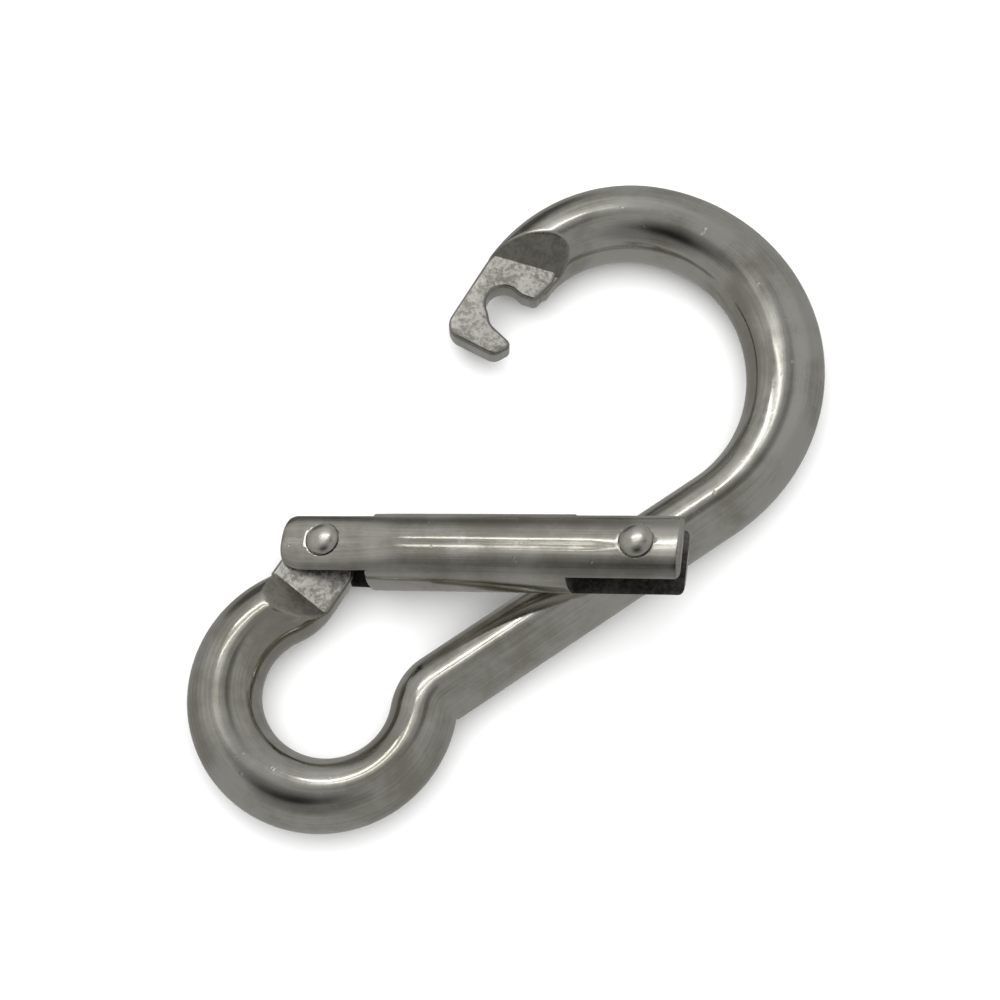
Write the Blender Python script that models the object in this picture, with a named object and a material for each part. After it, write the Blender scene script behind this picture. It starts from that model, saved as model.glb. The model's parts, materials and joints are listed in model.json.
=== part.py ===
"""Spring snap hook with a captive eye, gate open. Blender 4.5, metres, +Z up.

The hook is a bent round bar lying flat. Most shapes are laid out in millimetres on the gate line:
t runs from the pivot rivet towards the notch of the nose, w runs from that line into the bowl,
and z is height above the hook's middle plane. The gate's own shapes use x along the gate,
y across it and z along its rivet.
"""
import math

import bmesh
import bpy
from mathutils import Matrix, Vector

MM = 0.001

# The gate line, in the hook's plane
PIVOT = Vector((-22.5, -7.3, 0.0))
CLOSED_ANGLE = math.radians(56.6)
NOTCH_REACH = 42.2
LATCH_REACH = 42.7
LATCH_SIDE = 0.3

# The bent bar: nose line, three bow arcs as (radius, turn), spine, eye ring
NOSE_OFFSET = -1.0
BAR_END_T = 46.0
BOW_START_T = 46.96
BOW_ARCS = ((18.7, 66.0), (21.57, 65.15), (23.79, 71.05))
EYE_CENTRE = Vector((-23.0, -27.2, 0.0))
EYE_RADIUS = 13.15
NECK_RADIUS = 4.95
TANG_OFFSET = 0.1
TANG_BAR_END_T = -6.3
BAR_SIDES = 36
ARC_STEP = math.radians(5.0)
SHARP_EDGE = math.radians(35.0)

# Half width in the plane and half height of the bar, at named stations of the path
NOSE_TIP_BAR = (4.45, 4.9)
NOSE_BAR = (4.95, 5.0)
BOW_BAR = (5.5, 5.2)
SPINE_BAR = (4.7, 4.7)
EYE_BAR = (5.0, 5.0)
NECK_BAR = (4.8, 4.8)
SPINE_NECK_BAR = (4.4, 4.8)
TANG_BAR = (4.65, 4.8)

# Flattened ends of the bar
PLATE_HALF = 1.7
PLATE_EDGE = 0.5
CORE_HALF = 1.4
RAMP_ANGLE = math.radians(38.0)
NOSE_RAMP_T = 49.0
NOSE_RAMP_SLANT = math.radians(-16.0)
TANG_RAMP_T = -7.4
TANG_RAMP_SLANT = math.radians(6.0)
NOTCH_RADIUS = 2.45
NOTCH_OFFSET = -0.3
NOTCH_ARC = (0, -135)
RIVET_HOLE_RADIUS = 2.2
CAM_RADIUS = 3.7
CAM_RISE = 1.15
CAM_TURN = math.radians(62.0)
CAM_ARC = (70, -15)

# Outline corners of the two flattened ends on the gate line, as (t, w, corner radius)
NOSE_LIP = ((40.08, -1.53, 0), (38.7, -0.2, 2.2), (37.75, 4.3, 0.9), (34.95, 2.9, 1.7), (34.2, -5.2, 2.4))
NOSE_ROOT = ((46.0, -5.7, 0), (50.5, -5.2, 0), (50.5, 3.3, 0), (48.5, 3.75, 0))
NOSE_FINGER = ((44.9, 3.15, 0.9), (44.45, 1.2, 0))
TANG_RIGHT = ((2.7, -3.6, 1.4), (-0.5, -4.75, 1.5), (-7.2, -4.75, 0))
TANG_LEFT = ((-9.2, -3.4, 0), (-9.6, 3.6, 0), (-7.4, 4.75, 0), (-1.0, 4.65, 1.5))

# How far a cutter reaches past what it cuts
CUTTER_REACH = 9.0
RAMP_CUTTER_LENGTH = 20.0

# The gate: a thick tube with a fork at each end
GATE_START = -5.65
GATE_END = 48.2
GATE_START_SLANT = -0.11
GATE_END_SLANT = 0.09
GATE_TOP = (5.1, 5.45)
GATE_FRONT_FOOT = (5.3, 5.1)
GATE_BACK_FOOT = (4.95, 4.65)
GATE_HALF_Z = 4.4
GATE_PIVOT_HALF_Z = 4.0
GATE_FRONT_ROUNDNESS = 2.1
GATE_BACK_ROUNDNESS = 2.7
HEEL_ROUNDNESS = 2.8
GATE_SIDES = 48
GATE_END_ROUND = 0.7
HEEL_LOW_ROUND = 3.4
HEEL_HIGH_ROUND = 1.8
HEEL_HIGH_DROP = 0.25
HEEL_SPREAD_START = 2.0
HEEL_SPREAD_END = 12.0
GATE_FLOAT = 0.1
PIVOT_SLOT_HALF = 3.15
PIVOT_SLOT_END = 6.3
NOSE_SLOT_HALF = 2.6
NOSE_SLOT_START = 33.5
BORE_RADIUS = 2.7
BORE_START = 4.0
BORE_END = 20.6
BORE_TIP_RADIUS = 0.3
BORE_TIP_LENGTH = 1.2

# How the gate stands in the open pose
TILT_AXIS_ANGLE = math.radians(62.0)
OPEN_TILT = math.radians(17.0)
OPEN_ANGLE = math.radians(-5.75)

# Rivets, plunger and spring
PIVOT_SHANK_RADIUS = 1.5
LATCH_SHANK_RADIUS = 1.75
SHANK_GAP = 0.1
HEAD_RADIUS = 2.25
HEAD_HEIGHT = 1.05
HEAD_SINK = 0.35
HEAD_GAP = 0.12
HEAD_TIP_RADIUS = 0.15
RIVET_SIDES = 36
FLUSH_END_GAP = 0.1
PLUNGER_TIP = 5.35
PLUNGER_HEAD_RADIUS = 2.35
PLUNGER_HEAD_LENGTH = 2.0
PLUNGER_DOME = 0.9
PLUNGER_STEM_RADIUS = 1.2
PLUNGER_STEM_LENGTH = 4.5
SPRING_RADIUS = 2.0
SPRING_WIRE_RADIUS = 0.35
SPRING_TURNS = 7.5
SPRING_SIDES = 8
SPRING_STEPS = 14
SEAT_GAP = 0.3

ALONG = Vector((math.cos(CLOSED_ANGLE), math.sin(CLOSED_ANGLE), 0.0))
INWARD = Vector((math.sin(CLOSED_ANGLE), -math.cos(CLOSED_ANGLE), 0.0))
UP = Vector((0.0, 0.0, 1.0))


def on_gate_line(t, w, z=0.0):
    """The point t along the closed gate line and w into the bowl."""
    return PIVOT + ALONG * t + INWARD * w + UP * z


def gate_axes():
    """Directions of the open gate: along it, across it and along its rivet."""
    tilt_axis = Vector((math.cos(TILT_AXIS_ANGLE), math.sin(TILT_AXIS_ANGLE), 0.0))
    rivet = Matrix.Rotation(-OPEN_TILT, 3, tilt_axis) @ UP
    plan = Vector((math.cos(OPEN_ANGLE), math.sin(OPEN_ANGLE), 0.0))
    along = (plan - UP * (plan.dot(rivet) / rivet.z)).normalized()
    return along, rivet.cross(along), rivet


def gate_frame():
    along, across, rivet = gate_axes()
    turn = Matrix((along, across, rivet)).transposed().to_4x4()
    return Matrix.Translation(PIVOT + rivet * GATE_FLOAT) @ turn


def steel(name, colour, roughness):
    material = bpy.data.materials.new(name)
    material.use_nodes = True
    surface = material.node_tree.nodes["Principled BSDF"]
    surface.inputs["Base Color"].default_value = (*colour, 1.0)
    surface.inputs["Metallic"].default_value = 1.0
    surface.inputs["Roughness"].default_value = roughness
    material.diffuse_color = (*colour, 1.0)
    return material


def mesh_object(name, points, faces, helper=False):
    """A mesh from points in millimetres, its faces turned outward."""
    mesh = bpy.data.meshes.new(name)
    mesh.from_pydata([Vector(point) * MM for point in points], [], faces)
    shape = bmesh.new()
    shape.from_mesh(mesh)
    bmesh.ops.recalc_face_normals(shape, faces=shape.faces)
    shape.to_mesh(mesh)
    shape.free()
    mesh.shade_smooth()
    mesh.set_sharp_from_angle(angle=SHARP_EDGE)
    thing = bpy.data.objects.new(name, mesh)
    bpy.context.scene.collection.objects.link(thing)
    if helper:
        thing.hide_render = True
        thing.display_type = "WIRE"
    return thing


def skin(name, rings, helper=False):
    """A closed body through rings of equal point count, capped at both ends."""
    count = len(rings[0])
    points = [point for ring in rings for point in ring]
    faces = [tuple(range(count)), tuple(range(len(points) - count, len(points)))]
    for start in range(0, len(points) - count, count):
        for side in range(count):
            after = (side + 1) % count
            faces.append((start + side, start + after, start + count + after, start + count + side))
    return mesh_object(name, points, faces, helper)


def combine(target, operation, other):
    """Cuts the other shape from the target, or joins it on."""
    modifier = target.modifiers.new(f"{operation.title()} {other.name}", "BOOLEAN")
    modifier.operation = operation
    modifier.solver = "EXACT"
    modifier.object = other


def turned(name, profile, frame, sides=32, helper=False):
    """A body of revolution about the frame's z, from a profile of (radius, height)."""
    rings = []
    for radius, height in profile:
        angles = [math.tau * side / sides for side in range(sides)]
        ring = [(radius * math.cos(angle), radius * math.sin(angle), height) for angle in angles]
        rings.append([frame @ Vector(point) for point in ring])
    return skin(name, rings, helper)


# ---------------------------------------------------------------- the bent bar


def cross_point(line_offset):
    """Where the circle one neck radius outside the eye ring meets a parallel of a straight run.

    line_offset is the run's distance from the eye's centre; the result is the distance along it.
    """
    reach = EYE_RADIUS + NECK_RADIUS
    return math.sqrt(reach**2 - (line_offset + NECK_RADIUS) ** 2)


class BarPath:
    """Places along the bar's middle line, each with its heading and the bar's half sizes."""

    def __init__(self, position, heading, section):
        self.position = position.copy()
        self.heading = heading
        self.section = section
        self.places = [(position.copy(), heading, section)]

    def move(self, place, heading, section):
        self.position = place
        self.heading = heading
        self.section = section
        self.places.append((place.copy(), heading, section))

    def run(self, length, section, pieces=4):
        start = self.position.copy()
        first = self.section
        forward = Vector((math.cos(self.heading), math.sin(self.heading), 0.0))
        for piece in range(1, pieces + 1):
            part = piece / pieces
            self.move(start + forward * (length * part), self.heading, mixed(first, section, part))

    def bend(self, radius, turn, section):
        """An arc to the right, or to the left where turn is negative."""
        side = math.copysign(1.0, turn)
        heading = self.heading
        first = self.section
        centre = self.position + right_of(heading) * (radius * side)
        pieces = max(2, round(abs(turn) / ARC_STEP))
        for piece in range(1, pieces + 1):
            part = piece / pieces
            angle = heading - turn * part
            self.move(centre - right_of(angle) * (radius * side), angle, mixed(first, section, part))


def right_of(heading):
    return Vector((math.sin(heading), -math.cos(heading), 0.0))


def mixed(first, second, part):
    ease = part * part * (3.0 - 2.0 * part)
    return tuple(a + (b - a) * ease for a, b in zip(first, second))


def bar_path():
    path = BarPath(on_gate_line(BAR_END_T, NOSE_OFFSET), CLOSED_ANGLE, NOSE_TIP_BAR)
    path.run(BOW_START_T - BAR_END_T, NOSE_BAR, pieces=2)
    sections = (BOW_BAR, BOW_BAR, SPINE_BAR)
    for (radius, turn), section in zip(BOW_ARCS, sections):
        path.bend(radius, math.radians(turn), section)

    forward = Vector((math.cos(path.heading), math.sin(path.heading), 0.0))
    to_eye = EYE_CENTRE - path.position
    spine_offset = to_eye.dot(right_of(path.heading))
    path.run(to_eye.dot(forward) - cross_point(spine_offset), SPINE_BAR, pieces=8)
    neck = math.acos((spine_offset + NECK_RADIUS) / (EYE_RADIUS + NECK_RADIUS))
    path.bend(NECK_RADIUS, -neck, SPINE_NECK_BAR)

    eye_to_pivot = PIVOT + INWARD * TANG_OFFSET - EYE_CENTRE
    tang_offset = -eye_to_pivot.dot(INWARD)
    tang_neck = math.acos((tang_offset + NECK_RADIUS) / (EYE_RADIUS + NECK_RADIUS))
    ring_turn = (path.heading - CLOSED_ANGLE + tang_neck) % math.tau
    path.bend(EYE_RADIUS, ring_turn * 0.5, EYE_BAR)
    path.bend(EYE_RADIUS, ring_turn * 0.5, NECK_BAR)
    path.bend(NECK_RADIUS, -tang_neck, NECK_BAR)
    tang_length = (PIVOT - path.position).dot(ALONG) + TANG_BAR_END_T
    path.run(tang_length, TANG_BAR, pieces=2)
    return path.places


def bar():
    rings = []
    for place, heading, (half_width, half_height) in bar_path():
        ring = []
        for side in range(BAR_SIDES):
            angle = math.tau * side / BAR_SIDES
            across = right_of(heading) * (half_width * math.cos(angle))
            ring.append(place + across + UP * (half_height * math.sin(angle)))
        rings.append(ring)
    return skin("hook_body", rings)


# ---------------------------------------------------------------- flattened ends


def rounded(corners, step=math.radians(15.0)):
    """An outline whose corners (x, y, radius) are replaced with arcs."""
    outline = []
    for index, (x, y, radius) in enumerate(corners):
        corner = Vector((x, y))
        if radius == 0:
            outline.append(corner)
            continue
        before = (Vector(corners[index - 1][:2]) - corner).normalized()
        after = (Vector(corners[(index + 1) % len(corners)][:2]) - corner).normalized()
        half = before.angle(after) * 0.5
        centre = corner + (before + after).normalized() * (radius / math.sin(half))
        start = corner + before * (radius / math.tan(half)) - centre
        turn = math.copysign(math.pi - 2.0 * half, before.cross(after) * -1.0)
        pieces = max(1, math.ceil(abs(turn) / step))
        for piece in range(pieces + 1):
            outline.append(centre + Matrix.Rotation(turn * piece / pieces, 2) @ start)
    return outline


def inset(outline, distance):
    """The outline moved inward; it runs anticlockwise."""
    moved = []
    for index, point in enumerate(outline):
        before = (point - outline[index - 1]).normalized()
        after = (outline[(index + 1) % len(outline)] - point).normalized()
        normal = Vector((-before.y - after.y, before.x + after.x)).normalized()
        stretch = max(0.5, normal.dot(Vector((-after.y, after.x))))
        moved.append(point + normal * (distance / stretch))
    return moved


def anticlockwise(outline):
    area = sum(outline[i - 1].cross(point) for i, point in enumerate(outline))
    return outline if area > 0 else outline[::-1]


def plate(name, outline):
    """A flat plate with rounded edges on the gate line, from an outline in (t, w)."""
    outline = anticlockwise(outline)
    levels = []
    for angle in (0.0, 30.0, 60.0, 90.0):
        turn = math.radians(angle)
        shrink = PLATE_EDGE * (1.0 - math.sin(turn))
        levels.append((shrink, PLATE_HALF - PLATE_EDGE * (1.0 - math.cos(turn))))
    levels = [(shrink, -height) for shrink, height in levels] + [
        (shrink, height) for shrink, height in reversed(levels)
    ]
    rings = []
    for shrink, height in levels:
        rings.append([on_gate_line(point.x, point.y, height) for point in inset(outline, shrink)])
    return skin(name, rings, helper=True)


def arc(centre, radius, span, step):
    """Points of an arc from one angle to another, in degrees; radius is a function of the angle."""
    start, end = span
    pieces = round(abs(end - start) / step)
    points = []
    for piece in range(pieces + 1):
        angle = math.radians(start + (end - start) * piece / pieces)
        points.append(centre + Vector((math.cos(angle), math.sin(angle))) * radius(angle))
    return points


def nose_outline():
    """The nose: a finger that hooks round an open notch for the latch pin."""
    centre = Vector((NOTCH_REACH, NOTCH_OFFSET))
    notch = arc(centre, lambda angle: NOTCH_RADIUS, NOTCH_ARC, 15)
    return notch + rounded(NOSE_LIP + NOSE_ROOT + NOSE_FINGER)


def cam_radius(angle):
    """The heel's radius about the rivet; angle turns from the gate line into the bowl."""
    return CAM_RADIUS + CAM_RISE * angle / CAM_TURN


def tang_outline():
    """The tang: straight sides, and a heel that pushes the plunger in as the gate opens."""
    return arc(Vector((0.0, 0.0)), cam_radius, CAM_ARC, 5) + rounded(TANG_RIGHT + TANG_LEFT)


def ramp_cutter(name, base_t, slant, rises, side):
    """A block over one face of a flattened end, ending in the ramp up to the round bar."""
    slope = math.tan(RAMP_ANGLE)
    foot = (CORE_HALF - PLATE_HALF) / slope
    profile = [
        (foot, CORE_HALF),
        (foot + CUTTER_REACH / slope, CORE_HALF + CUTTER_REACH),
        (-RAMP_CUTTER_LENGTH, CORE_HALF + CUTTER_REACH),
        (-RAMP_CUTTER_LENGTH, CORE_HALF),
    ]
    rings = []
    for w in (-CUTTER_REACH, CUTTER_REACH):
        start = base_t - math.tan(slant) * w
        rings.append([on_gate_line(start + rises * x, w, side * z) for x, z in profile])
    return skin(name, rings, helper=True)


def hook_body(material):
    body = bar()
    for side, label in ((1.0, "front"), (-1.0, "back")):
        nose = ramp_cutter(f"nose_ramp_{label}", NOSE_RAMP_T, NOSE_RAMP_SLANT, 1.0, side)
        tang = ramp_cutter(f"tang_ramp_{label}", TANG_RAMP_T, TANG_RAMP_SLANT, -1.0, side)
        combine(body, "DIFFERENCE", nose)
        combine(body, "DIFFERENCE", tang)
    combine(body, "UNION", plate("nose_plate", nose_outline()))
    combine(body, "UNION", plate("tang_plate", tang_outline()))
    through = [(RIVET_HOLE_RADIUS, -CUTTER_REACH), (RIVET_HOLE_RADIUS, CUTTER_REACH)]
    hole = turned("rivet_hole", through, Matrix.Translation(PIVOT), helper=True)
    combine(body, "DIFFERENCE", hole)
    body.data.materials.append(material)
    return body


# ---------------------------------------------------------------- the gate


def corner_drop(distance, radius):
    """How far a rounded corner falls away at this distance from the end."""
    if distance >= radius:
        return 0.0
    return radius - math.sqrt(max(0.0, radius**2 - (radius - distance) ** 2))


def gate_stations():
    """Places along the gate, close together where its ends are rounded."""
    ends = [GATE_END_ROUND * (1.0 - math.cos(math.radians(a))) for a in (0, 25, 50, 75, 90)]
    heel = [HEEL_LOW_ROUND * part for part in (0.35, 0.55, 0.75, 1.0)]
    start = [GATE_START + step for step in ends + heel]
    length = HEEL_SPREAD_END - HEEL_SPREAD_START
    spread = [HEEL_SPREAD_START + length * part for part in (-0.25, 0.0, 0.25, 0.5, 0.75, 1.0)]
    middle = [GATE_END * part for part in (0.4, 0.6, 0.8)]
    return start + spread + middle + [GATE_END - step for step in reversed(ends)]


def blend(first, second, part):
    return mixed((first,), (second,), min(1.0, max(0.0, part)))[0]


def gate_ring(x):
    """The gate's outline at x. Its front is rounder than its back, and its heel is squarer."""
    from_start = x - GATE_START
    from_end = GATE_END - x
    part = from_start / (GATE_END - GATE_START)
    spread = (x - HEEL_SPREAD_START) / (HEEL_SPREAD_END - HEEL_SPREAD_START)
    edge = corner_drop(min(from_start, from_end), GATE_END_ROUND)
    low_drop = max(edge, corner_drop(from_start, HEEL_LOW_ROUND))
    high_drop = max(edge, corner_drop(from_start, HEEL_HIGH_ROUND)) + blend(HEEL_HIGH_DROP, 0.0, spread)
    thick = blend(GATE_PIVOT_HALF_Z, GATE_HALF_Z, spread) - edge
    slant = GATE_START_SLANT + (GATE_END_SLANT - GATE_START_SLANT) * part
    ring = []
    for side in range(GATE_SIDES):
        angle = math.tau * side / GATE_SIDES
        cosine = math.cos(angle)
        sine = math.sin(angle)
        front = (1.0 + sine) / 2.0
        power = 2.0 / blend(GATE_BACK_ROUNDNESS, blend(HEEL_ROUNDNESS, GATE_FRONT_ROUNDNESS, spread), front)
        if cosine > 0:
            half_y = GATE_TOP[0] + (GATE_TOP[1] - GATE_TOP[0]) * part - high_drop
        else:
            widths = [start + (end - start) * part for start, end in (GATE_BACK_FOOT, GATE_FRONT_FOOT)]
            half_y = blend(*widths, front) - low_drop
        y = math.copysign(abs(cosine) ** power, cosine) * half_y
        z = math.copysign(abs(sine) ** power, sine) * thick
        ring.append((x + slant * z, y, z))
    return ring


def box_cutter(name, low, high, frame):
    ring = [(low[1], low[2]), (high[1], low[2]), (high[1], high[2]), (low[1], high[2])]
    rings = [[frame @ Vector((x, y, z)) for y, z in ring] for x in (low[0], high[0])]
    return skin(name, rings, helper=True)


def rivet_hole(half_z, shank, back_head):
    """Profile of the hole for a rivet, with a shallow seat for each head."""
    seat = HEAD_RADIUS + HEAD_GAP
    floor = half_z - HEAD_SINK - HEAD_GAP
    hole = shank + SHANK_GAP
    front = [(hole, floor), (seat, floor), (seat, CUTTER_REACH)]
    if not back_head:
        return [(hole, -CUTTER_REACH)] + front
    return [(radius, -height) for radius, height in reversed(front)] + front


def gate(material, frame):
    rings = [[frame @ Vector(point) for point in gate_ring(x)] for x in gate_stations()]
    body = skin("gate", rings)
    low = (GATE_START - CUTTER_REACH, -CUTTER_REACH, -PIVOT_SLOT_HALF)
    high = (PIVOT_SLOT_END, CUTTER_REACH, PIVOT_SLOT_HALF)
    combine(body, "DIFFERENCE", box_cutter("pivot_slot", low, high, frame))
    low = (NOSE_SLOT_START, -CUTTER_REACH, -NOSE_SLOT_HALF)
    high = (GATE_END + CUTTER_REACH, CUTTER_REACH, NOSE_SLOT_HALF)
    combine(body, "DIFFERENCE", box_cutter("nose_slot", low, high, frame))
    bore = [(BORE_RADIUS, BORE_START), (BORE_RADIUS, BORE_END)]
    bore.append((BORE_TIP_RADIUS, BORE_END + BORE_TIP_LENGTH))
    lengthwise = frame @ Matrix.Rotation(math.radians(90.0), 4, "Y")
    combine(body, "DIFFERENCE", turned("spring_bore", bore, lengthwise, helper=True))
    for name, place, half_z, shank, back_head in rivet_places():
        centre = frame @ Matrix.Translation(place)
        profile = rivet_hole(half_z, shank, back_head)
        combine(body, "DIFFERENCE", turned(f"{name}_hole", profile, centre, RIVET_SIDES, helper=True))
    body.data.materials.append(material)
    return body


def rivet_places():
    """Name, place in the gate, cheek height, shank radius and back head of each rivet.

    The latch pin's back end is flush, because the gate's back passes over the bar there.
    """
    return (
        ("pivot_rivet", (0.0, 0.0, 0.0), GATE_PIVOT_HALF_Z, PIVOT_SHANK_RADIUS, True),
        ("latch_pin", (LATCH_REACH, LATCH_SIDE, 0.0), GATE_HALF_Z, LATCH_SHANK_RADIUS, False),
    )


def rivet(name, place, half_z, shank, back_head, material, frame):
    """A pin with a domed head in front, and behind it another or a flush end."""
    sink = half_z - HEAD_SINK
    dome = []
    for degrees in range(0, 90, 15):
        angle = math.radians(degrees)
        dome.append((HEAD_RADIUS * math.cos(angle), half_z + HEAD_HEIGHT * math.sin(angle)))
    dome.append((HEAD_TIP_RADIUS, half_z + HEAD_HEIGHT))
    upper = [(shank, sink), (HEAD_RADIUS, sink)] + dome
    lower = [(shank, FLUSH_END_GAP - half_z)]
    if back_head:
        lower = [(radius, -height) for radius, height in reversed(upper)]
    centre = frame @ Matrix.Translation(place)
    pin = turned(name, lower + upper, centre, RIVET_SIDES)
    pin.data.materials.append(material)
    return pin


def plunger(material, frame):
    """The spring's foot: a domed head that rides the heel, and a stem inside the coil."""
    profile = []
    for degrees in (10, 30, 50, 70, 90):
        angle = math.radians(degrees)
        depth = PLUNGER_DOME * (1.0 - math.cos(angle))
        profile.append((PLUNGER_HEAD_RADIUS * math.sin(angle), PLUNGER_TIP + depth))
    back = PLUNGER_TIP + PLUNGER_HEAD_LENGTH
    profile.append((PLUNGER_HEAD_RADIUS, back))
    profile.append((PLUNGER_STEM_RADIUS, back))
    profile.append((PLUNGER_STEM_RADIUS, back + PLUNGER_STEM_LENGTH))
    lengthwise = frame @ Matrix.Rotation(math.radians(90.0), 4, "Y")
    foot = turned("spring_plunger", profile, lengthwise)
    foot.data.materials.append(material)
    return foot


def coil_spring(material, frame):
    """The compressed coil between the plunger's head and the end of the bore."""
    start = PLUNGER_TIP + PLUNGER_HEAD_LENGTH + SEAT_GAP + SPRING_WIRE_RADIUS
    end = BORE_END - SEAT_GAP - SPRING_WIRE_RADIUS
    steps = round(SPRING_TURNS * SPRING_STEPS)
    pitch = (end - start) / (math.tau * SPRING_TURNS)
    rings = []
    for step in range(steps + 1):
        angle = math.tau * SPRING_TURNS * step / steps
        radial = Vector((0.0, math.cos(angle), math.sin(angle)))
        centre = radial * SPRING_RADIUS + Vector((start + pitch * angle, 0.0, 0.0))
        run = Vector((pitch, -math.sin(angle) * SPRING_RADIUS, math.cos(angle) * SPRING_RADIUS))
        side = run.normalized().cross(radial)
        ring = []
        for corner in range(SPRING_SIDES):
            turn = math.tau * corner / SPRING_SIDES
            offset = radial * math.cos(turn) + side * math.sin(turn)
            ring.append(frame @ (centre + offset * SPRING_WIRE_RADIUS))
        rings.append(ring)
    coil = skin("gate_spring", rings)
    coil.data.materials.append(material)
    return coil


# ---------------------------------------------------------------- the whole


def stand_on_origin(things, body):
    """Moves the model so that the body's footprint is centred on the origin, resting at z = 0."""
    low = Vector([min(vertex.co[axis] for vertex in body.data.vertices) for axis in range(3)])
    high = Vector([max(vertex.co[axis] for vertex in body.data.vertices) for axis in range(3)])
    shift = Vector((-(low.x + high.x) / 2.0, -(low.y + high.y) / 2.0, -low.z))
    for thing in things:
        thing.data.transform(Matrix.Translation(shift))
    return shift


def put_origin(thing, place):
    """Sets a piece's origin without moving the piece."""
    thing.data.transform(Matrix.Translation(-place))
    thing.location = place


def main():
    for old in list(bpy.data.objects):
        bpy.data.objects.remove(old)
    bar_steel = steel("polished_bar", (0.58, 0.575, 0.55), 0.22)
    gate_steel = steel("brushed_gate", (0.55, 0.545, 0.52), 0.28)
    rivet_steel = steel("rivet_steel", (0.66, 0.65, 0.62), 0.2)
    spring_steel = steel("spring_steel", (0.5, 0.5, 0.5), 0.3)

    frame = gate_frame()
    body = hook_body(bar_steel)
    moving = [gate(gate_steel, frame)]
    for name, place, half_z, shank, back_head in rivet_places():
        moving.append(rivet(name, place, half_z, shank, back_head, rivet_steel, frame))
    moving.append(plunger(spring_steel, frame))
    moving.append(coil_spring(spring_steel, frame))

    shift = stand_on_origin(list(bpy.data.objects), body)
    pivot = PIVOT * MM + shift
    for thing in moving:
        put_origin(thing, pivot)
    print("pivot", tuple(round(value, 6) for value in pivot))


main()
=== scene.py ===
"""Looks of the spring snap hook with a captive eye, lying with its gate open.

Shapes are laid out in millimetres from the pivot rivet, as in the CAD part: t runs along the
closed gate line, w from that line into the bowl, z is height above the hook's middle plane.
The gate's own shapes use x along the gate, y across it and z along its rivet.
"""
import json
import math

import bmesh
import bpy
import numpy as np
from mathutils import Matrix, Quaternion, Vector


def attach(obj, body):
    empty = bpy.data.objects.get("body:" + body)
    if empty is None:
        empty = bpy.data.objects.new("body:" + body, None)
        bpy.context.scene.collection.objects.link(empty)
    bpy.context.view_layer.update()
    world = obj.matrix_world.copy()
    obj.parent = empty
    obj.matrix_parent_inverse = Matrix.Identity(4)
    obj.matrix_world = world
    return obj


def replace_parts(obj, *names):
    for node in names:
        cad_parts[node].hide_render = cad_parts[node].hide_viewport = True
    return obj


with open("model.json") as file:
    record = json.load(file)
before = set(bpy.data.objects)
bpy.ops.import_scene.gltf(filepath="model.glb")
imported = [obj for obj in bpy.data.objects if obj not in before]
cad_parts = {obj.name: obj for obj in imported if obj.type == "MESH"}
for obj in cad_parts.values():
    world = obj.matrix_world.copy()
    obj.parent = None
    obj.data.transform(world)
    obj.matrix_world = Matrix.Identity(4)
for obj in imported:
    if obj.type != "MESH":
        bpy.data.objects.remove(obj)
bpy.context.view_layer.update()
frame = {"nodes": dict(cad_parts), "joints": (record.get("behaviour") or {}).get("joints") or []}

MM = 0.001

# ---------------------------------------------------------------- sizes, in millimetres

GATE_LINE_ANGLE = math.radians(56.6)
NOTCH_REACH = 42.2
LATCH_REACH = 42.7
LATCH_SIDE = 0.3

NOSE_OFFSET = -1.0
BAR_END_T = 46.0
BOW_START_T = 46.96
BOW_ARCS = ((18.7, 66.0), (21.57, 65.15), (23.79, 71.05))
EYE_CENTRE = Vector((-0.5, -19.9, 0.0))
EYE_RADIUS = 13.15
NECK_RADIUS = 4.95
TANG_OFFSET = 0.1
TANG_BAR_END_T = -6.3
BAR_SIDES = 112
ARC_STEP = math.radians(1.25)
RUN_STEP = 0.2
NOSE_ARC_STEP = math.radians(0.5)

# Half width in the plane and half height of the bar, at named stations of the path
NOSE_TIP_BAR = (4.45, 4.9)
NOSE_BAR = (4.95, 5.0)
BOW_BAR = (5.5, 5.2)
SPINE_BAR = (4.7, 4.7)
EYE_BAR = (5.0, 5.0)
NECK_BAR = (4.8, 4.8)
SPINE_NECK_BAR = (4.4, 4.8)
TANG_BAR = (4.65, 4.8)

# Flattened ends of the bar; a ramp is its foot, its slant and the way it rises
PLATE_HALF = 1.7
PLATE_EDGE = 0.5
CORE_HALF = 1.4
RAMP_SLOPE = math.tan(math.radians(38.0))
RAMP_SOFTNESS = 0.35
RAMP_LENGTH = 20.0
NOSE_RAMP = (49.0, math.tan(math.radians(-16.0)), 1.0)
TANG_RAMP = (-7.4, math.tan(math.radians(6.0)), -1.0)
NOTCH_RADIUS = 2.45
NOTCH_OFFSET = -0.3
NOTCH_ARC = (0, -135)
RIVET_HOLE_RADIUS = 2.2
CAM_RADIUS = 3.7
CAM_RISE = 1.15
CAM_TURN = math.radians(62.0)
CAM_ARC = (70, -15)

# Where along the gate line the ends' finishes apply, and how near a face lies to its surface
NOSE_END_SPAN = (32.0, 58.0)
TANG_END_SPAN = (-16.0, 8.0)
LEVEL_NORMAL = 0.97
FLAT_CLOSENESS = 0.03
RAMP_NORMAL = 0.9
RAMP_CLOSENESS = RAMP_SOFTNESS * 0.6

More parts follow.
